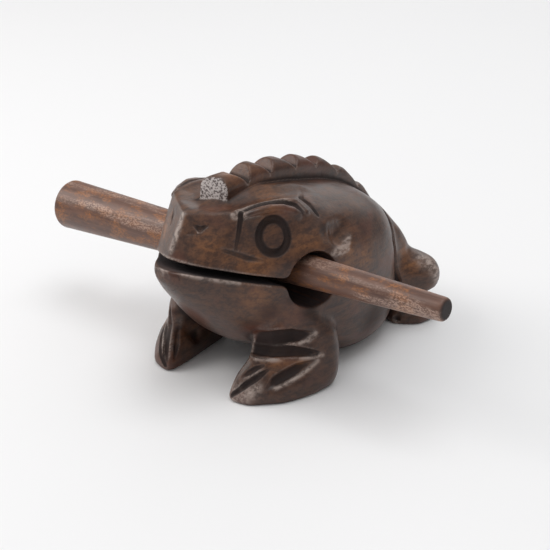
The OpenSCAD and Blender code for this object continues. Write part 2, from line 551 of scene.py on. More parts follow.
def near(p, balls, reach):
    """Which points lie within reach of the balls' box."""
    b = np.array(balls, np.float32)
    low = (b[:, :3] - b[:, 3:4]).min(0) - reach
    high = (b[:, :3] + b[:, 3:4]).max(0) + reach
    return ((p > low) & (p < high)).all(1)


def add_limb(d, p, balls, soft):
    """Grows a limb."""
    hit = near(p, balls, soft + 1)
    d[hit] = smooth_min(d[hit], ball_skin(p[hit], balls), soft)


def mirrored(p):
    """The points, with those on the right side brought to the left."""
    return np.column_stack([np.abs(p[:, 0]), p[:, 1:]])


def frog_outside(p):
    """The plain outside of the carving, without its crest, grooves and holes."""
    d = trunk(p)
    front = p[:, 1] < 8
    d[front] = smooth_min(d[front], head(p[front]), HEAD_JOIN)
    side = mirrored(p)
    for balls, soft in LIMBS:
        add_limb(d, side, balls, soft)
    return d


def snug(balls, lift):
    """Balls moved on to the plain outside, or to a height above it."""
    balls = np.array(balls, np.float32)
    for _ in range(6):
        out, size = slope_of(frog_outside, balls[:, :3])
        balls[:, :3] -= out * ((frog_outside(balls[:, :3]) - lift) / size)[:, None]
    return balls


def carve(d, p, balls, soft):
    """Cuts a gouge."""
    hit = near(p, balls, GOUGE_REACH)
    d[hit] = smooth_max(d[hit], -chain(p[hit], balls), soft)


def add_ridge(d, p, balls, soft):
    """Raises a ridge."""
    hit = near(p, balls, soft + 0.5)
    d[hit] = smooth_min(d[hit], chain(p[hit], balls), soft)


def eye_ring(p):
    """Distance to the middle line of the oval groove round the left eye."""
    axis = np.array((cos(EYE_TURN) * cos(EYE_TILT), sin(EYE_TURN) * cos(EYE_TILT), sin(EYE_TILT)))
    q = p - np.array(EYE, np.float32)
    up = np.array((-sin(EYE_TILT) * cos(EYE_TURN), -sin(EYE_TILT) * sin(EYE_TURN), cos(EYE_TILT)))
    depth = q @ axis.astype(np.float32)
    height = q @ up.astype(np.float32)
    squeezed = height * height * (1 - EYE_TALL**-2)
    round_eye = np.sqrt(np.maximum((q * q).sum(1) - depth * depth - squeezed, 0))
    return np.sqrt((round_eye - EYE_R) ** 2 + depth * depth)


def carve_eye(d, p):
    """Cuts the ring groove round the left eye."""
    hit = near(p, [EYE + (EYE_R,)], EYE_GROOVE + GOUGE_REACH)
    d[hit] = smooth_max(d[hit], EYE_GROOVE - eye_ring(p[hit]), EYE_SOFT)


def bore(p):
    """Distance to the cross bore."""
    y, z = p[:, 1] - BORE_Y, p[:, 2] - BORE_Z
    return np.sqrt(y * y + z * z) - BORE_R


def kerf(p):
    """Distance to the saw kerf, which ends at the bore's axis."""
    y, z = p[:, 1] - KERF_Y, p[:, 2] - KERF_Z
    across = np.abs(z * cos(KERF_SLOPE) + y * sin(KERF_SLOPE)) - KERF_HALF
    return np.maximum(across, p[:, 1] - BORE_Y)


def mouth(p):
    """Distance to the bore and the kerf, which meet at rounded corners."""
    return smooth_min(bore(p), kerf(p), CORNER_SOFT)


def carve_step(d, p, balls, ledge):
    """Cuts a gouge that stops below at a ledge."""
    hit = near(p, balls, GOUGE_REACH)
    q = p[hit]
    above = q[:, 2] - ledge[0] - ledge[1] * q[:, 1]
    d[hit] = smooth_max(d[hit], np.minimum(-chain(q, balls), above), STEP_SOFT)


def frog(p):
    """The whole carving."""
    d = frog_outside(p)
    side = mirrored(p)
    # The right brow is carved lower, so its points are looked up higher
    lower_right = side + np.where(p[:, 0] < 0, RIGHT_BROW_DROP, 0)[:, None] * (0, 0, 1)
    lower_right = lower_right.astype(np.float32)
    add_ridge(d, lower_right, EYELID, EYELID_JOIN)
    add_ridge(d, lower_right, BROW, BROW_JOIN)
    for name, balls in SNUG.items():
        carve(d, side, balls, SOFT_GOUGES.get(name, GOUGE_SOFT))
    for balls in LEFT_SNUG.values():
        carve(d, p, balls, LEFT_SOFT)
    other = p * np.array((-1, 1, 1), np.float32)
    for balls in RIGHT_SNUG.values():
        carve(d, other, balls, RIGHT_SOFT)
    for balls, ledge in WRIST_SNUG:
        carve_step(d, p, balls, ledge)
        # The right wrist has only the outer half of each cut
        carve_step(d, other, balls[2:], ledge)
    crest_room = (side[:, 0] < 8) & (p[:, 2] > 30) & (p[:, 1] > -32)
    d[crest_room] = smooth_min(d[crest_room], crest(p[crest_room]), CREST_JOIN)
    carve_eye(d, side)
    return smooth_max(smooth_max(d, -mouth(p), RIM_SOFT), -p[:, 2], SOLE_SOFT)


def sampled(field, low, high, step, block=4):
    """Field values on a grid, worked out only in the blocks of cells that the surface may cross."""
    count = np.ceil((np.array(high) - low) / (step * block)).astype(int)
    corner = np.stack(np.meshgrid(*(np.arange(n) for n in count), indexing="ij"), -1)
    middle = (low + (corner.reshape(-1, 3) + 0.5 - 0.5 / block) * step * block).astype(np.float32)
    rough = in_parts(field, middle).reshape(count)
    grid = np.repeat(np.repeat(np.repeat(rough, block, 0), block, 1), block, 2)
    # The field isn't quite a true distance, so a block counts as crossed from farther off than
    # half of its diagonal
    half_diagonal = 0.87 * step * block
    crossed = np.abs(rough) < half_diagonal * 1.5 + 0.6
    mask = np.repeat(np.repeat(np.repeat(crossed, block, 0), block, 1), block, 2)
    at = np.argwhere(mask)
    grid[mask] = in_parts(field, (low + at * step).astype(np.float32))
    return grid


def in_parts(field, p, size=200000):
    """A field's values, worked out for so many points at a time."""
    return np.concatenate([field(p[i : i + size]) for i in range(0, len(p), size)])


def surface_net(grid, low, step):
    """Points and quads over a grid's zero level, with one point in each cell that it crosses."""
    inside = grid < 0
    corners = [(i, j, k) for i in (0, 1) for j in (0, 1) for k in (0, 1)]
    cut = [slice(0, -1), slice(1, None)]
    full = sum(inside[cut[i], cut[j], cut[k]].astype(np.int8) for i, j, k in corners)
    cell = np.argwhere((full > 0) & (full < 8))
    value = {c: grid[tuple((cell + c).T)] for c in corners}
    total, hits = np.zeros((len(cell), 3)), np.zeros(len(cell))
    for a in corners:
        for axis in range(3):
            if a[axis]:
                continue
            b = tuple(1 if n == axis else a[n] for n in range(3))
            crossing = (value[a] < 0) != (value[b] < 0)
            t = value[a] / np.where(crossing, value[a] - value[b], 1)
            point = np.array(a, float) + t[:, None] * np.eye(3)[axis]
            total += point * crossing[:, None]
            hits += crossing
    points = low + (cell + total / hits[:, None]) * step
    number = np.full(grid.shape, -1, np.int32)
    number[tuple(cell.T)] = np.arange(len(cell))
    quads = []
    for axis in range(3):
        a = [slice(None)] * 3
        b = [slice(None)] * 3
        a[axis], b[axis] = slice(0, -1), slice(1, None)
        start, end = inside[tuple(a)], inside[tuple(b)]
        edge = np.argwhere(start != end)
        edge = edge[(edge[:, [n for n in range(3) if n != axis]] > 0).all(1)]
        u, v = (np.eye(3, dtype=int)[(axis + n) % 3] for n in (1, 2))
        ring = [number[tuple((edge - o).T)] for o in (u + v, v, 0 * u, u)]
        quad = np.stack(ring, 1)
        flip = end[tuple(edge.T)]
        quad[flip] = quad[flip][:, ::-1]
        quads.append(quad)
    return points, np.concatenate(quads)


def slope_of(field, p, gap=0.15):
    """Outward direction of a field at some points, and its steepness."""
    g = np.column_stack([
        in_parts(field, p + gap * axis) - in_parts(field, p - gap * axis)
        for axis in np.eye(3, dtype=np.float32)
    ]) / (2 * gap)
    size = np.maximum(np.linalg.norm(g, axis=1), 0.2)
    return g / size[:, None], size


# The gouges, moved on to the plain outside
SNUG = {name: snug(gouge[1:], gouge[0]) for name, gouge in GOUGES.items()}
LEFT_SNUG = {name: snug(gouge[1:], gouge[0]) for name, gouge in LEFT_GOUGES.items()}
RIGHT_SNUG = {name: snug(gouge[1:], gouge[0]) for name, gouge in RIGHT_GOUGES.items()}
WRIST_SNUG = [(snug(gouge[1:], gouge[0]), ledge) for ledge, gouge in WRIST_CUTS]


# Room left round the frog for its surface
MARGIN = 2.1


def carved(field, step):
    """Points and quads of a field's surface, in drawing millimetres."""
    low = np.array(DRAWN_LOW) - MARGIN
    high = np.array(DRAWN_HIGH) + MARGIN
    points, quads = surface_net(sampled(field, low, high, step), low, step)
    points = points.astype(np.float32)
    for _ in range(2):
        points = relaxed(points, quads)
        out, size = slope_of(field, points)
        move = np.clip(in_parts(field, points) / size, -0.5 * step, 0.5 * step)
        points = (points - out * move[:, None]).astype(np.float32)
    return points, quads


def relaxed(points, quads, share=0.35):
    """Points moved a share of the way to the middle of their neighbours."""
    total, count = np.zeros_like(points), np.zeros(len(points), np.float32)
    for k in range(4):
        for other in (quads[:, (k + 1) % 4], quads[:, (k + 3) % 4]):
            for axis in range(3):
                total[:, axis] += np.bincount(quads[:, k], points[other, axis], len(points))
            count += np.bincount(quads[:, k], minlength=len(points))
    return (points + share * (total / count[:, None] - points)).astype(np.float32)


# --- Blender ---
# A millimetre in the frame's metres
MM = 0.001


def fitted(points):
    """Drawing millimetres to metres of the frame, by the CAD body's box."""
    low, high = (np.array(corner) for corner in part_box("frog_body"))
    drawn_low, drawn_high = np.array(DRAWN_LOW), np.array(DRAWN_HIGH)
    return low + (points - drawn_low) * (high - low) / (drawn_high - drawn_low)


def drawn(points):
    """Metres of the frame to drawing millimetres."""
    low, high = (np.array(corner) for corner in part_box("frog_body"))
    drawn_low, drawn_high = np.array(DRAWN_LOW), np.array(DRAWN_HIGH)
    return drawn_low + (points - low) * (drawn_high - drawn_low) / (high - low)


def mesh_object(name, points, faces):
    """A smoothly shaded mesh in the scene."""
    mesh = bpy.data.meshes.new(name)
    mesh.from_pydata(points.tolist(), [], faces)
    mesh.polygons.foreach_set("use_smooth", [True] * len(mesh.polygons))
    mesh.update()
    obj = bpy.data.objects.new(name, mesh)
    bpy.context.scene.collection.objects.link(obj)
    return obj


def thin_out(obj, triangles):
    """Fewer triangles where the surface is plain."""
    now = sum(len(f.vertices) - 2 for f in obj.data.polygons)
    if now > triangles:
        fewer = obj.modifiers.new("fewer", "DECIMATE")
        fewer.ratio = triangles / now
        depsgraph = bpy.context.evaluated_depsgraph_get()
        mesh = bpy.data.meshes.new_from_object(obj.evaluated_get(depsgraph))
        obj.modifiers.clear()
        obj.data = mesh


def mark(obj, name, values):
    """Keeps a value for each point, which the material reads."""
    layer = obj.data.attributes.new(name, "FLOAT", "POINT")
    layer.data.foreach_set("value", values.astype(np.float32))


# How far out of the wood a hollow's walls are felt for, and how far in an edge's other side is
HOLLOW_REACHES = (1.0, 2.5)
EDGE_REACH = 0.9
# Wide gouges, whose middles get no painted shade and are stained as the outside is
WIDE_GOUGES = ("trough", "ear")
# Depths at which a cut starts to take painted shade, is wholly shaded, and is wholly in the bore or the
# kerf
CUT_FROM = 0.3
CUT_WHOLE = 1.0
INSIDE_WHOLE = 1.3
# How far out of the eye's groove its painted shade is whole, where that shade ends, and how far off edges
# stay unworn
RING_DARK = 0.1
RING_PLAIN = 0.9
RING_UNWORN = 1.6
# How wide a strip is painted light along an edge
LIT_STRIP_REACH = 0.6
# Where the stain is painted light on the left side, rubbed by handling at the toes and the lips' front,
# and as a painted sheen on the heel: x, y, z, radius
RUBBED_AND_SHEEN = [
    (16.3, -36.0, 1.6, 2.4),
    (16.6, -35.8, 5.0, 2.0),
    (19.5, -35.2, 2.6, 2.2),
    (21.2, -33.8, 4.4, 2.0),
    (22.5, -32.0, 6.2, 1.6),
    (18.2, -34.8, 5.6, 1.6),
    (25.8, 48.6, 24.2, 2.6),
    (27.1, 50.0, 23.0, 2.6),
    (28.8, 51.3, 20.8, 2.6),
    (29.6, 51.8, 18.0, 2.0),
    (1.0, -50.2, 46.6, 1.0),
    (2.4, -50.0, 47.0, 0.9),
]
# Edges painted light all along, partly rubbed wear and partly painted highlights, as on the snout's ridge
# and the ear hollow's rim: corners with their radius
RUBBED_AND_LIT_EDGES = [
    [(12.6, -31.6, 61.6, 0.1), (13.4, -31.4, 61.0, 0.2), (15.4, -30.2, 60.6, 0.1)],
    [(-1.0, -38.8, 60.4, 0.3), (-0.5, -41.8, 56.2, 0.5), (-0.5, -45.0, 50.7, 0.4)],
    [(26.3, -27.8, 5.8, 0.3), (28.6, -23.4, 7.4, 0.4), (30.3, -18.1, 9.2, 0.3), (31.6, -13.5, 11.6, 0.1)],
    [(27.5, -17.5, 18.1, 0.2), (28.7, -15.0, 18.9, 0.5), (29.7, -12.8, 20.4, 0.3)],
    [(19.0, -29.0, 14.0, 0.1), (27.4, -22.4, 13.6, 0.2), (31.8, -11.8, 13.2, 0.2)],
    [(28.3, -3.2, 44.2, 0.2), (28.3, 0.4, 43.8, 1.0), (27.9, 4.0, 44.2, 1.3), (26.6, 7.4, 46.4, 0.4)],
    [(6.2, -47.9, 45.9, 0.1), (9.5, -44.5, 44.9, 0.3), (13.1, -39.3, 43.1, 0.3), (17.4, -34.0, 41.4, 0.1)],
]
# Where the stain is thin and the wood's orange shows, on both sides: x, y, z, radius
THIN_STAIN = [
    (24.4, -24.0, 12.4, 3.6),
    (28.4, -18.4, 12.0, 2.6),
    (25.0, -9.0, 47.5, 4.0),
    (28.6, 4.0, 41.0, 5.0),
    (29.4, 12.0, 38.0, 5.0),
    (14.3, -35.6, 49.0, 2.4),
    (16.4, -32.6, 47.7, 2.4),
    (18.6, -29.7, 46.7, 2.4),
    (24.6, -13.2, 49.0, 4.5),
    (18.0, -21.0, 60.4, 4.0),
    (10.0, -12.0, 62.0, 6.0),
    (2.0, -20.0, 68.5, 4.5),
    (22.6, 42.0, 28.6, 3.0),
    (24.8, 43.4, 23.6, 3.0),
    (20.0, -29.0, 46.0, 5.0),
    (16.0, -28.0, 36.0, 6.0),
    (10.0, -40.0, 53.0, 5.0),
]
# Darker, duller patches, on both sides: painted shade low on the flank and round the arm under the jaw,
# and dark patches in the ear hollow: x, y, z, radius
DARK_STAIN_AND_SHADE = [
    (27.0, -0.5, 47.4, 2.4),
    (24.6, -3.4, 51.6, 3.0),
    (28.5, 18.0, 14.0, 11.0),
    (20.0, -24.0, 30.0, 6.0),
    (28.0, -13.0, 28.0, 5.0),
    (26.0, -19.0, 33.0, 3.4),
]


def spots(p, places):
    """How near each point is to any of the places, from 0 to 1."""
    share = np.zeros(len(p), np.float32)
    for x, y, z, radius in places:
        gap = np.linalg.norm(p - np.array((x, y, z), np.float32), axis=1) / radius
        share = np.maximum(share, np.exp(-gap * gap))
    return share


def carved_share(side, depth):
    """How deep in its narrow gouges the wood is."""
    cut = ramp(depth, CUT_FROM, CUT_WHOLE)
    for name in WIDE_GOUGES:
        cut *= ramp(chain(side, SNUG[name]), 0, 1)
    return cut


def hollow_stain_shade_share(field, p, out, side, cut):
    """How dark the hollows are painted: gathered stain and painted shade in the recesses, the narrow cuts
    and the eye's groove.
    """
    hollow_stain_shade = sum(
        np.maximum(reach - in_parts(field, p + out * reach), 0) / reach for reach in HOLLOW_REACHES
    )
    # The eye's groove and the narrow cuts take painted shade
    ring = ramp(eye_ring(side) - EYE_GROOVE, RING_PLAIN, RING_DARK)
    hollow_stain_shade = np.maximum(ramp(hollow_stain_shade, 0, 1.2), 0.8 * np.maximum(ring, cut))
    # The dark patches, partly painted shade on the low parts, are darkened as the hollows are
    return np.maximum(hollow_stain_shade, 0.6 * spots(side, DARK_STAIN_AND_SHADE))


def edge_share(field, p, out, side):
    """How exposed the edges are, with less of it round the eyes and at the mouth."""
    edge = ramp(EDGE_REACH + in_parts(field, p - out * EDGE_REACH), 0, EDGE_REACH)
    at_eye = eye_ring(side) < EYE_GROOVE + RING_UNWORN
    at_mouth = np.abs(mouth(p)) < 1.2
    by_bore = p[:, 1] > -25
    return edge * (1 - 0.8 * at_eye) * (1 - at_mouth * np.where(by_bore, 0.75, 0.35))


def sawn_sheen_share(p, out):
    """Where the crest's sawn front is painted, as bare wood with a speckled painted highlight."""
    on_face = (np.abs(crest_face(p)) < 0.5) & (np.abs(p[:, 0]) < 6) & (p[:, 2] > 60)
    return ramp(out @ CREST_FACE, 0.8, 0.95) * on_face


def rubbed_and_sheen_share(p, cut):
    """Where the stain is painted light: rubbed by handling, and painted sheen and highlights."""
    rubbed_and_sheen = spots(p, RUBBED_AND_SHEEN)
    for line in RUBBED_AND_LIT_EDGES:
        gap = np.maximum(chain(p, line), 0) / LIT_STRIP_REACH
        rubbed_and_sheen = np.maximum(rubbed_and_sheen, 0.8 * np.exp(-gap * gap))
    return rubbed_and_sheen * (1 - cut)


def mark_wear_and_shading(obj, field):
    """Marks how deep in a hollow each point of the frog is, for its painted shade, how exposed and how
    worn it is, and where sheen and highlights are painted.
    """
    co = np.empty(len(obj.data.vertices) * 3, np.float32)
    obj.data.vertices.foreach_get("co", co)
    p = drawn(co.reshape(-1, 3)).astype(np.float32)
    out = slope_of(field, p)[0].astype(np.float32)
    side = mirrored(p)
    depth = -in_parts(frog_outside, p)
    cut = carved_share(side, depth)
    mark(obj, "hollow_stain_shade", hollow_stain_shade_share(field, p, out, side, cut))
    mark(obj, "edge", edge_share(field, p, out, side))
    mark(obj, "sawn", sawn_sheen_share(p, out))
    # Inside the bore and the kerf, where shade is painted
    mark(obj, "inside", ramp(depth, CUT_FROM, INSIDE_WHOLE) * (np.abs(mouth(p)) < 0.5))
    mark(obj, "rubbed_and_sheen", rubbed_and_sheen_share(p, cut))
    mark(obj, "thin_stain", spots(side, THIN_STAIN))


# Size of the grid's cells in drawing millimetres, and the most triangles that the frog keeps
CELL = 0.42
MOST_TRIANGLES = 190000


def make_frog():
    """The carved frog, which stands for the CAD's plainer one."""
    points, quads = carved(frog, CELL)
    obj = mesh_object("carved_frog", fitted(points), quads.tolist())
    thin_out(obj, MOST_TRIANGLES)
    mark_wear_and_shading(obj, frog)
    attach(obj, "frog")
    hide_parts("frog_body")
    obj.data.materials.append(body_wood())
    return obj


# How much of the CAD stick's length is taken for its end face, and for its end
END_SLICE = 0.1 * MM
NEAR_END = 3 * MM


def stick_line():
    """The CAD stick's middle line from its thick end, and the radius at each end."""
    node = frame["nodes"]["rasp_stick"]
    co = np.array([v.co for v in node.data.vertices])
    way = -np.array(frame["joints"][0]["axis"], float)
    way /= np.linalg.norm(way)
    along = co @ way
    at_start = along < along.min() + END_SLICE
    at_end = along > along.max() - END_SLICE
    start, end = ((co[at].max(0) + co[at].min(0)) / 2 for at in (at_start, at_end))
    from_line = np.linalg.norm(co - start - np.outer((co - start) @ way, way), axis=1)
    near_start = along < along.min() + NEAR_END
    near_end = along > along.max() - NEAR_END
    return start, end, from_line[near_start].max(), from_line[near_end].max()


# How round its ends are
STICK_ROUND = 1.3 * MM
# How deep the turning's waves are, as a share of the radius, and the most that they add up to
WAVE_DEPTH = 0.004
WAVES_MOST = 1.9
# Half of the stretch that lies in the bore, which is painted darker as shade, and how softly that ends
BORE_SHADE_HALF = 30 * MM
BORE_SHADE_FADE = 7 * MM
STICK_SIDES = 128
STICK_RINGS = 200


def end_profile(radius):
    """An end's flat face and rounded rim: how far along the stick, and the radius there."""
    flat = radius - STICK_ROUND
    bend = np.linspace(0, np.pi / 2, 9)
    face = [(0, flat * share) for share in np.linspace(0.1, 1, 8)[:-1]]
    rim = np.column_stack([1 - np.cos(bend), np.sin(bend)]) * STICK_ROUND + (0, flat)
    return np.vstack([face, rim])


def stick_profile(length, thick, thin):
    """The whole stick: how far along it, and the radius there."""
    first, last = end_profile(thick), end_profile(thin)[::-1]
    last[:, 0] = length - last[:, 0]
    side = np.linspace(STICK_ROUND, length - STICK_ROUND, STICK_RINGS)[1:-1]
    radii = thick + (thin - thick) * side / length
    return np.vstack([first, np.column_stack([side, radii]), last])


def turning_waves(far, around):
    """The slight unevenness of hand turning, along and round the stick."""
    return (
        0.5 * np.sin(2 * around + 1.3 * far)
        + 0.5 * np.sin(3 * around - 2.1 * far + 1)
        + 0.4 * np.cos(11 * around + 0.7 * far)
        + 0.5 * np.sin(3.3 * far + 2 * np.sin(around))
    )


def lathe_faces(rings, sides):
    """Quads between rings, and fans to the two last points, which close the ends."""
    faces = []
    tail = (rings - 1) * sides
    for k in range(sides):
        n = (k + 1) % sides
        faces.append((rings * sides, n, k))
        faces.append((rings * sides + 1, tail + k, tail + n))
        for i in range(rings - 1):
            a = i * sides
            b = a + sides
            faces.append((a + k, a + n, b + n, b + k))
    return faces


def mark_stick(obj, along, start, end):
    """Marks the stick's end faces, and the stretch that lies in the bore for its painted shade."""
    length = np.linalg.norm(end - start)
    from_end = np.minimum(along, length - along)
    mark(obj, "end", np.append(ramp(from_end, 0.5 * STICK_ROUND, 0), [1, 1]))
    from_middle = np.abs(start[0] + along * (end - start)[0] / length)
    mark(obj, "kept", np.append(ramp(from_middle, BORE_SHADE_HALF, BORE_SHADE_HALF - BORE_SHADE_FADE), [0, 0]))


def make_stick():
    """The stick as a lathe with rounded ends."""
    start, end, thick, thin = stick_line()
    length = np.linalg.norm(end - start)
    profile = stick_profile(length, thick, thin)
    turn = np.linspace(0, 2 * np.pi, STICK_SIDES, endpoint=False)
    along, around = np.meshgrid(profile[:, 0], turn, indexing="ij")
    waves = turning_waves(along / length * 2 * np.pi, around)
    radius = profile[:, 1][:, None] * (1 - WAVE_DEPTH * (WAVES_MOST + waves))
    points = np.stack([along, radius * np.cos(around), radius * np.sin(around)], -1).reshape(-1, 3)
    points = np.vstack([points, [(0, 0, 0), (length, 0, 0)]])
    obj = mesh_object("turned_stick", points, lathe_faces(len(profile), STICK_SIDES))
    mark_stick(obj, along.ravel(), start, end)
    turned = Vector(end - start).to_track_quat("X", "Z").to_matrix().to_4x4()
    obj.matrix_world = Matrix.Translation(Vector(start)) @ turned
    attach(obj, "stick")
    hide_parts("rasp_stick")
    obj.data.materials.append(stick_wood())
    return obj


# --- Materials ---
def add(tree, kind, inputs=None, **settings):
    """A node with its settings and its inputs, which are sockets to link or plain values."""
    node = tree.nodes.new("ShaderNode" + kind)
    for key, value in settings.items():
        setattr(node, key, value)
    for key, value in (inputs or {}).items():
        if isinstance(value, bpy.types.NodeSocket):
            tree.links.new(value, node.inputs[key])
        else:
            node.inputs[key].default_value = value
    return node


def noise(tree, stretch, detail=3.0, rough=0.55, offset=0.0, warp=0.0):
    """Noise whose features are about 1 / stretch metres wide along each axis."""
    where = add(tree, "TexCoord").outputs["Object"]
    place = add(tree, "Mapping", {"Vector": where, "Scale": stretch, "Location": (offset,) * 3})
    inputs = {"Vector": place.outputs[0], "Scale": 1.0, "Detail": detail, "Roughness": rough}
    inputs["Distortion"] = warp
    return add(tree, "TexNoise", inputs).outputs["Fac"]


def spread(tree, value, low, high, out_low=0.0, out_high=1.0):
    """A value brought smoothly from the range low to high to another range."""
    inputs = {"Value": value, 1: low, 2: high, 3: out_low, 4: out_high}
    return add(tree, "MapRange", inputs, interpolation_type="SMOOTHSTEP").outputs[0]


def combine(tree, operation, a, b):
    return add(tree, "Math", {0: a, 1: b}, operation=operation).outputs[0]


def times(tree, a, b):
    return combine(tree, "MULTIPLY", a, b)


def weighted(tree, first, *rest):
    """The sum of some values, each given with its weight."""
    result = times(tree, *first)
    for value, weight in rest:
        result = combine(tree, "ADD", result, times(tree, value, weight))
    return result


def blend(tree, share, a, b):
    """Colour a where the share is 0 and colour b where it is 1."""
    node = add(tree, "Mix", {"Factor": share}, data_type="RGBA")
    for socket, value in ((6, a), (7, b)):
        if isinstance(value, bpy.types.NodeSocket):
            tree.links.new(value, node.inputs[socket])
        else:
            node.inputs[socket].default_value = (*value, 1)
    return node.outputs[2]


def attribute(tree, name):
    return add(tree, "Attribute", attribute_name=name).outputs["Fac"]


def bump(tree, height, depth, under=None, strength=1.0):
    """Normals of a relief so many metres deep, over the relief that lies under it."""
    inputs = {"Height": height, "Distance": depth, "Strength": strength}
    if under:
        inputs["Normal"] = under
    return add(tree, "Bump", inputs).outputs[0]


def new_material(name):
    material = bpy.data.materials.new(name)
    material.use_nodes = True
    return material, material.node_tree, material.node_tree.nodes["Principled BSDF"]


# Colours of the body's stain, from thick to thin, and of what isn't stained so
STAIN_DARK = (0.035, 0.018, 0.014)
STAIN_MID = (0.088, 0.041, 0.025)
STAIN_WARM = (0.205, 0.084, 0.032)
STAIN_RED = (0.115, 0.040, 0.025)
# Pale of worn edges and rubbed spots, also used for painted sheen and highlights
WORN_AND_SHEEN = (0.42, 0.34, 0.30)
# Near-black of the hollows: gathered stain with painted shade
GROOVE_STAIN_SHADE = (0.013, 0.008, 0.008)
# Painted shade inside the bore and the kerf
INSIDE_SHADE = (0.058, 0.052, 0.056)
# The crest's sawn front: bare wood with a speckled painted highlight
BARE_SHEEN_LIGHT = (0.66, 0.60, 0.58)
BARE_SHEEN_DARK = (0.13, 0.10, 0.095)
# Colours of the stick, whose stain is lighter
STICK_DARK = (0.082, 0.037, 0.025)
STICK_MID = (0.165, 0.080, 0.054)
STICK_WARM = (0.34, 0.13, 0.038)
# Pale streaks of painted sheen
STICK_SHEEN = (0.48, 0.33, 0.26)
STICK_END = (0.022, 0.015, 0.015)
# Painted shade where the stick lies in the bore
STICK_BORE_SHADE = (0.050, 0.026, 0.020)
# How rough both are before what their noises add
PLAIN_ROUGH = 0.20
# How fine the body's noises are, as about so many features to a metre along each axis. The
# grain runs from front to back.
GRAIN = (520, 60, 520)
MOTTLE = (560, 300, 560)
SPECKLE = (1500, 1100, 1500)
THIN_PATCHES = (70, 45, 70)
RED_PATCHES = (70, 60, 70)
FACETS = (120, 90, 120)
# The same for the stick, whose own X runs along it
STICK_GRAIN = (30, 620, 620)
STICK_STREAK = (80, 300, 300)
STICK_SPECKLE = (1200, 2300, 2300)
STICK_THIN_PATCHES = (120, 240, 240)
STICK_SHEEN_STREAKS = (22, 170, 170)


def body_color(tree, grain, mottle, speckle, hollow_stain_shade, inside):
    """Dark stain, warmer where it is thin, pale where it is worn and where sheen is painted, near-black in
    the hollows with gathered stain and painted shade, painted shade inside the bore and the kerf, and a
    painted highlight on the crest's sawn front.
    """
    tone = weighted(tree, (grain, 0.4), (mottle, 0.4), (speckle, 0.2))
    color = blend(tree, spread(tree, tone, 0.37, 0.63), STAIN_DARK, STAIN_MID)
    red = spread(tree, noise(tree, RED_PATCHES, 2, 0.5, 21.0), 0.50, 0.70)
    color = blend(tree, times(tree, red, 0.6), color, STAIN_RED)
    patches = spread(tree, noise(tree, THIN_PATCHES, 4, 0.60, 7.0), 0.48, 0.70, 0, 0.4)
    warm = combine(tree, "ADD", patches, attribute(tree, "thin_stain"))
    warm = times(tree, warm, spread(tree, tone, 0.40, 0.62, 0.25, 0.9))
    color = blend(tree, warm, color, STAIN_WARM)
    edge = spread(tree, attribute(tree, "edge"), 0.12, 0.55)
    edge = times(tree, edge, spread(tree, speckle, 0.34, 0.60, 0.25, 1.0))
    # Rubbed spots with painted sheen, and worn edges, are painted pale
    rubbed_and_sheen = times(tree, attribute(tree, "rubbed_and_sheen"), spread(tree, mottle, 0.38, 0.56, 0.25, 1.0))
    worn_and_sheen = combine(tree, "MAXIMUM", times(tree, edge, 0.62), rubbed_and_sheen)
    color = blend(tree, worn_and_sheen, color, WORN_AND_SHEEN)
    # The hollows are painted near-black: gathered stain and painted shade
    color = blend(tree, times(tree, hollow_stain_shade, 0.85), color, GROOVE_STAIN_SHADE)
    # Bare wood with a painted highlight on the crest's sawn front
    bare_and_sheen = blend(tree, spread(tree, speckle, 0.40, 0.56), BARE_SHEEN_DARK, BARE_SHEEN_LIGHT)
    color = blend(tree, attribute(tree, "sawn"), color, bare_and_sheen)
    # The insides of the bore and the kerf are painted dark as shade
    return blend(tree, inside, color, INSIDE_SHADE)


def body_wood():
    """Stained hardwood under a thin lacquer, dull in its hollows and in the bore."""
    material, tree, surface = new_material("stained_hardwood")
    grain = noise(tree, GRAIN, 4, 0.6, warp=0.5)
    mottle = noise(tree, MOTTLE, 4, 0.62, 3.0)
    speckle = noise(tree, SPECKLE, 2, 0.6, 11.0)
    hollow_stain_shade = spread(tree, attribute(tree, "hollow_stain_shade"), 0.15, 0.85)
    inside = attribute(tree, "inside")
    color = body_color(tree, grain, mottle, speckle, hollow_stain_shade, inside)
    tree.links.new(color, surface.inputs["Base Color"])
    dull = combine(tree, "MAXIMUM", inside, hollow_stain_shade)
    rough = weighted(tree, (mottle, 0.20), (speckle, 0.15), (dull, 0.35))
    tree.links.new(combine(tree, "ADD", rough, PLAIN_ROUGH), surface.inputs["Roughness"])
    facets = noise(tree, FACETS, 1, 0.4, 5.0)
    shape = bump(tree, facets, 0.45 * MM)
    outside = spread(tree, inside, 0, 1, 1, 0.1)
    shape = bump(tree, mottle, 0.10 * MM, shape, outside)
    shape = bump(tree, grain, 0.05 * MM, shape, outside)
    shape = bump(tree, speckle, 0.05 * MM, shape)
    tree.links.new(shape, surface.inputs["Normal"])
    surface.inputs["Specular IOR Level"].default_value = 0.36
    tree.links.new(spread(tree, dull, 0, 1, 0.16, 0), surface.inputs["Coat Weight"])
    surface.inputs["Coat Roughness"].default_value = 0.2
    return material


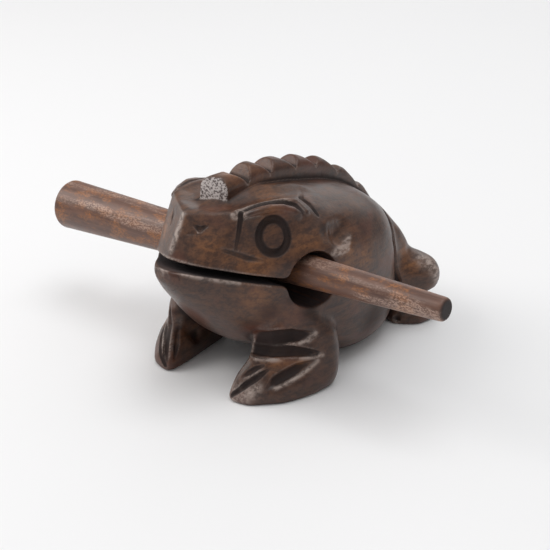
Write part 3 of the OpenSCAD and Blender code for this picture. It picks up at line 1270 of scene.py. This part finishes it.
def stick_color(tree, grain, streak, speckle):
    """Streaked reddish stain with pale streaks of painted sheen, dark on its ends, and painted shade where
    the stick lies in the bore.
    """
    tone = weighted(tree, (grain, 0.5), (streak, 0.5))
    color = blend(tree, spread(tree, tone, 0.34, 0.66), STICK_DARK, STICK_MID)
    warm = spread(tree, noise(tree, STICK_THIN_PATCHES, 4, 0.68, 9.0), 0.47, 0.62)
    warm = times(tree, warm, spread(tree, speckle, 0.40, 0.58, 0.2, 1))
    color = blend(tree, times(tree, warm, 0.8), color, STICK_WARM)
    # Pale streaks of painted sheen along the stick
    rubbed_and_sheen = spread(tree, noise(tree, STICK_SHEEN_STREAKS, 3, 0.6, 14.0), 0.48, 0.64)
    rubbed_and_sheen = times(tree, rubbed_and_sheen, spread(tree, speckle, 0.42, 0.60, 0.1, 0.7))
    color = blend(tree, rubbed_and_sheen, color, STICK_SHEEN)
    # Painted shade on the stretch in the bore
    color = blend(tree, times(tree, attribute(tree, "kept"), 0.55), color, STICK_BORE_SHADE)
    return blend(tree, attribute(tree, "end"), color, STICK_END)


def stick_wood():
    """Stained hardwood with its grain along the stick, dull on its ends."""
    material, tree, surface = new_material("stick_hardwood")
    grain = noise(tree, STICK_GRAIN, 5, 0.62, warp=0.6)
    streak = noise(tree, STICK_STREAK, 4, 0.6, 4.0)
    speckle = noise(tree, STICK_SPECKLE, 2, 0.6, 2.0)
    color = stick_color(tree, grain, streak, speckle)
    tree.links.new(color, surface.inputs["Base Color"])
    rough = weighted(tree, (streak, 0.3), (speckle, 0.15), (attribute(tree, "end"), 0.4))
    tree.links.new(combine(tree, "ADD", rough, PLAIN_ROUGH), surface.inputs["Roughness"])
    shape = bump(tree, streak, 0.12 * MM)
    shape = bump(tree, grain, 0.06 * MM, shape)
    shape = bump(tree, speckle, 0.05 * MM, shape)
    tree.links.new(shape, surface.inputs["Normal"])
    surface.inputs["Coat Weight"].default_value = 0.1
    surface.inputs["Coat Roughness"].default_value = 0.25
    return material


# --- Studio ---
FLOOR_CORNERS = [(-1, -1), (1, -1), (1, 1), (-1, 1)]
FLOOR_HALF = 3.0
FLOOR_GAP = 0.05 * MM
FLOOR_COLOR = (0.865, 0.875, 0.89, 1)


def make_floor():
    """A plain pale floor just under the soles."""
    corners = [(x * FLOOR_HALF, y * FLOOR_HALF, -FLOOR_GAP) for x, y in FLOOR_CORNERS]
    floor = mesh_object("floor", np.array(corners), [(0, 1, 2, 3)])
    material, tree, surface = new_material("pale_floor")
    surface.inputs["Base Color"].default_value = FLOOR_COLOR
    surface.inputs["Roughness"].default_value = 0.6
    surface.inputs["Specular IOR Level"].default_value = 0.2
    floor.data.materials.append(material)


def softbox(name, way, distance, size, power, color):
    """An area light that hangs in a direction from the frog and faces it."""
    light = bpy.data.lights.new(name, "AREA")
    light.shape = "RECTANGLE"
    light.size, light.size_y = size
    light.energy = power
    light.color = color
    lamp = bpy.data.objects.new(name, light)
    way = Vector(way).normalized()
    lamp.location = VIEW_TARGET + way * distance
    lamp.rotation_euler = way.to_track_quat("Z", "Y").to_euler()
    bpy.context.scene.collection.objects.link(lamp)


# The sky's colour, and how bright it is at the horizon and overhead
SKY_COLOR = (1, 0.985, 0.975, 1)
SKY_HORIZON = 0.23
SKY_TOP = 0.66
# Softboxes, each with its way from the frog, how far off it is, its size, power and colour.
# The frog is seen from its front left, so "left" is the side of its right flank.
PLAIN_LIGHT = (1, 1, 1)
WARM_LIGHT = (1.0, 0.97, 0.94)
SOFTBOXES = [
    ("key", (-0.606, -0.445, 0.65), 0.9, (0.5, 0.5), 2.8, WARM_LIGHT),
    ("top", (0.14, 0.05, 0.97), 1.1, (0.8, 0.6), 3.9, PLAIN_LIGHT),
    ("rim", (-0.32, 0.88, 0.34), 1.4, (1.2, 0.5), 2.0, PLAIN_LIGHT),
    ("left", (-0.97, -0.2, 0.22), 1.4, (0.9, 0.45), 2.6, WARM_LIGHT),
]


def light_studio():
    """A soft sky that brightens upwards, with a warm key, a top, a rim and a side light."""
    world = bpy.data.worlds.new("studio")
    world.use_nodes = True
    tree = world.node_tree
    height = add(tree, "SeparateXYZ", {0: add(tree, "TexCoord").outputs["Generated"]}).outputs[2]
    background = tree.nodes["Background"]
    background.inputs["Color"].default_value = SKY_COLOR
    bright = spread(tree, height, 0.1, 0.75, SKY_HORIZON, SKY_TOP)
    tree.links.new(bright, background.inputs["Strength"])
    bpy.context.scene.world = world
    for box in SOFTBOXES:
        softbox(*box)
    bpy.context.scene.view_settings.view_transform = "Standard"


# Camera: where it looks, from which way round and how high, how far off, and its lens and
# sensor
VIEW_TARGET = Vector((0, -18.6 * MM, 26.4 * MM))
VIEW_TURN = radians(42)
VIEW_RISE = radians(25)
VIEW_DISTANCE = 463.9 * MM
VIEW_LENS = 91.64
SENSOR = 36


def make_camera():
    """A camera at the photo's angle."""
    camera = bpy.data.cameras.new("camera")
    camera.lens = VIEW_LENS
    camera.sensor_width = SENSOR
    eye = bpy.data.objects.new("camera", camera)
    back = Vector((
        sin(VIEW_TURN) * cos(VIEW_RISE),
        -cos(VIEW_TURN) * cos(VIEW_RISE),
        sin(VIEW_RISE),
    ))
    eye.location = VIEW_TARGET + back * VIEW_DISTANCE
    eye.rotation_euler = back.to_track_quat("Z", "Y").to_euler()
    bpy.context.scene.collection.objects.link(eye)
    bpy.context.scene.camera = eye


make_frog()
make_stick()
make_floor()
light_studio()
make_camera()
